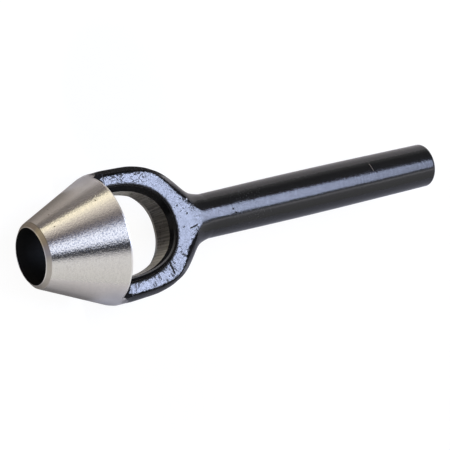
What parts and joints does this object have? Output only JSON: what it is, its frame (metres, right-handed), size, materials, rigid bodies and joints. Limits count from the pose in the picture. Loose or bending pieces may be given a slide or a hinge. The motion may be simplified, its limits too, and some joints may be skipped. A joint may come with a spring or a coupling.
{
  "type": "arch punch",
  "caption": "Arch punch: hollow conical cutting head on an open forged bow that lets the cut slug drop out, with a round shank whose end is struck with a mallet.",
  "frame": {"origin": "centre of the circular cutting edge, on the axis of the tool", "axes": "+X along the axis from the cutting edge towards the struck end of the shank, +Z square to the upper flat of the bow and up, +Y across the two arms of the bow"},
  "size_m": [0.1612, 0.0446, 0.043],
  "materials": {
    "turned_steel": "bright, fine turned marks around the cone",
    "black_paint": "gloss black over a slightly uneven forged surface",
    "braze_filler": "dull, mostly hidden in the joint"
  },
  "bodies": {
    "root": {"cutting_head": "turned_steel", "arch_bow": "black_paint", "shank": "black_paint", "head_braze": "braze_filler", "neck_weld": "black_paint"}
  },
  "joints": []
}
